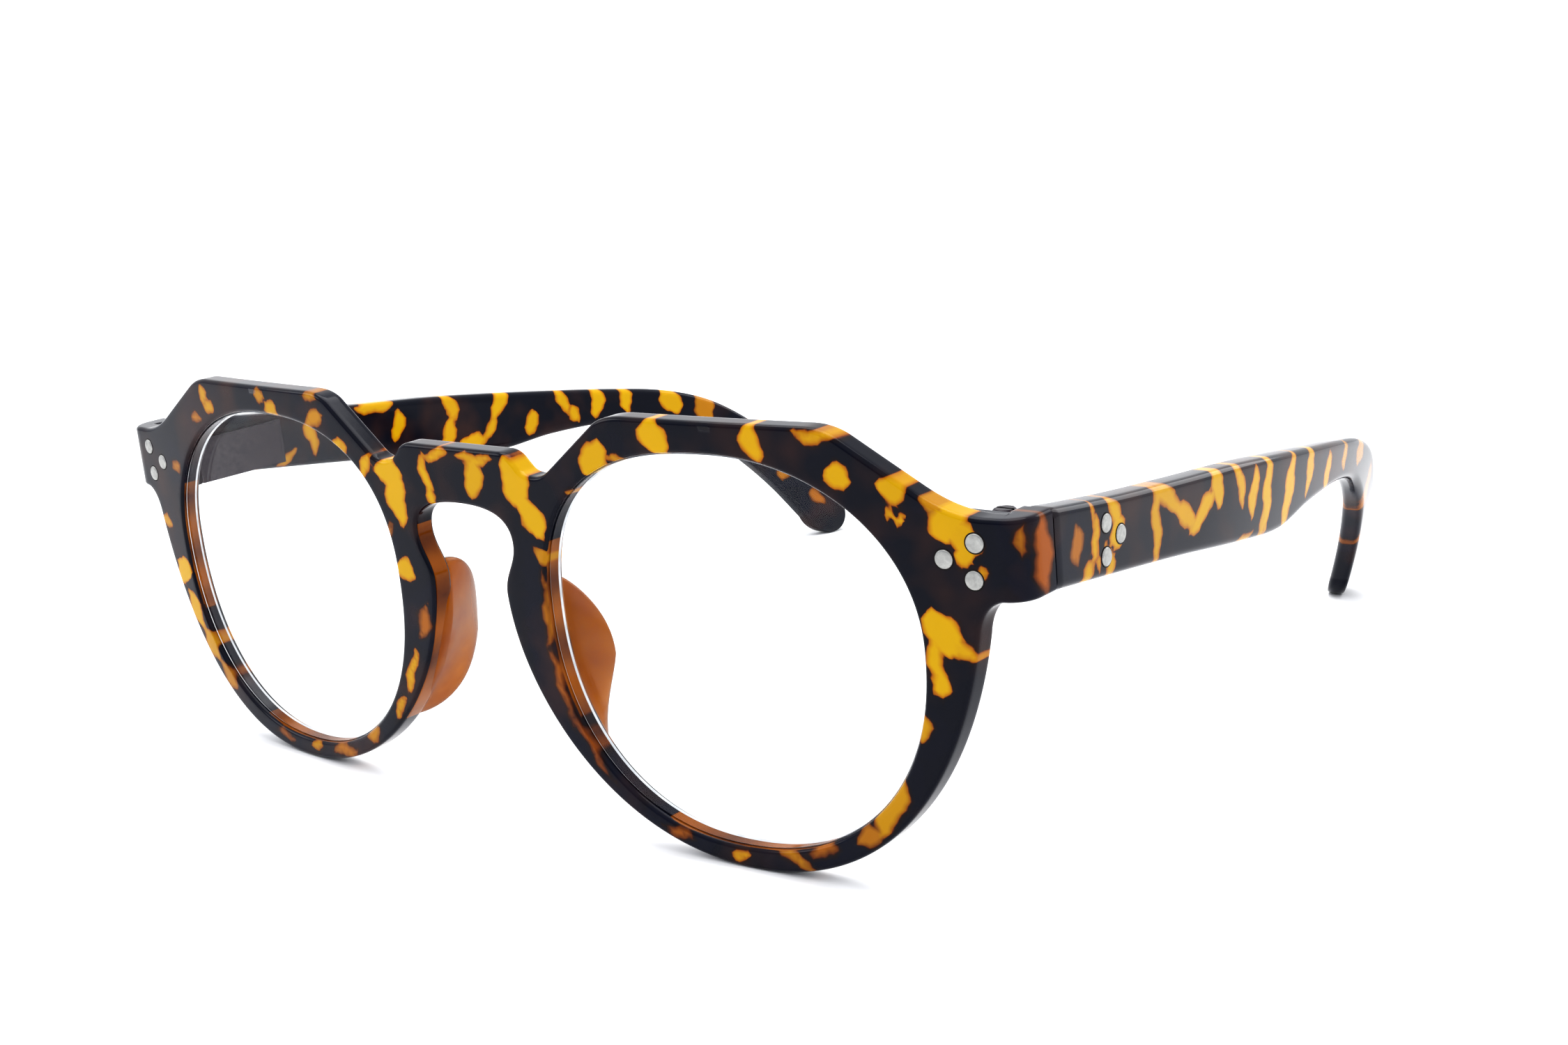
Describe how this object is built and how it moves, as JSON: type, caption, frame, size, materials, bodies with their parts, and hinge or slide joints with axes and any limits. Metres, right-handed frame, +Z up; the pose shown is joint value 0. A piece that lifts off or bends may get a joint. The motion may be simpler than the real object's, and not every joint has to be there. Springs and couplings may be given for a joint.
{
  "type": "reading glasses",
  "caption": "Folding reading glasses: round-eyed front with angular top corners and a keyhole bridge, clear lenses, bonded nose pads, riveted hinges and two hooked temples.",
  "frame": {"origin": "middle of the bounding box's underside: the table that the rims and the temple tips rest on, glasses open", "axes": "+Z up, front facing -Y, temples running to +Y, wearer's left side at +X"},
  "size_m": [0.142, 0.124, 0.0477],
  "materials": {
    "tortoiseshell": "polished, near-black with irregular amber patches",
    "amber": "polished, translucent plain amber",
    "lens": "clear, polished",
    "hinge_metal": "satin silver"
  },
  "bodies": {
    "front": {"front_frame": "tortoiseshell", "lens_left": "lens", "lens_right": "lens", "nose_pad_left": "amber", "nose_pad_right": "amber", "hinge_front_leaf_left": "hinge_metal", "hinge_front_leaf_right": "hinge_metal", "hinge_screw_left": "hinge_metal", "hinge_screw_right": "hinge_metal", "front_rivet_upper_left": "hinge_metal", "front_rivet_upper_right": "hinge_metal", "front_rivet_lower_left": "hinge_metal", "front_rivet_lower_right": "hinge_metal", "front_rivet_inner_left": "hinge_metal", "front_rivet_inner_right": "hinge_metal"},
    "left_temple": {"temple_left": "tortoiseshell", "hinge_temple_leaf_left": "hinge_metal", "temple_rivet_upper_left": "hinge_metal", "temple_rivet_lower_left": "hinge_metal", "temple_rivet_rear_left": "hinge_metal"},
    "right_temple": {"temple_right": "tortoiseshell", "hinge_temple_leaf_right": "hinge_metal", "temple_rivet_upper_right": "hinge_metal", "temple_rivet_lower_right": "hinge_metal", "temple_rivet_rear_right": "hinge_metal"}
  },
  "joints": [
    {"name": "left_temple_fold", "type": "hinge", "parent": "front", "child": "left_temple", "pos_m": [0.0656, -0.05137, 0.03577], "axis": [0, -0.0216, 0.9998], "range_deg": [0, 81]},
    {"name": "right_temple_fold", "type": "hinge", "parent": "front", "child": "right_temple", "pos_m": [-0.0656, -0.05137, 0.03577], "axis": [0, 0.0216, -0.9998], "range_deg": [0, 74]}
  ]
}
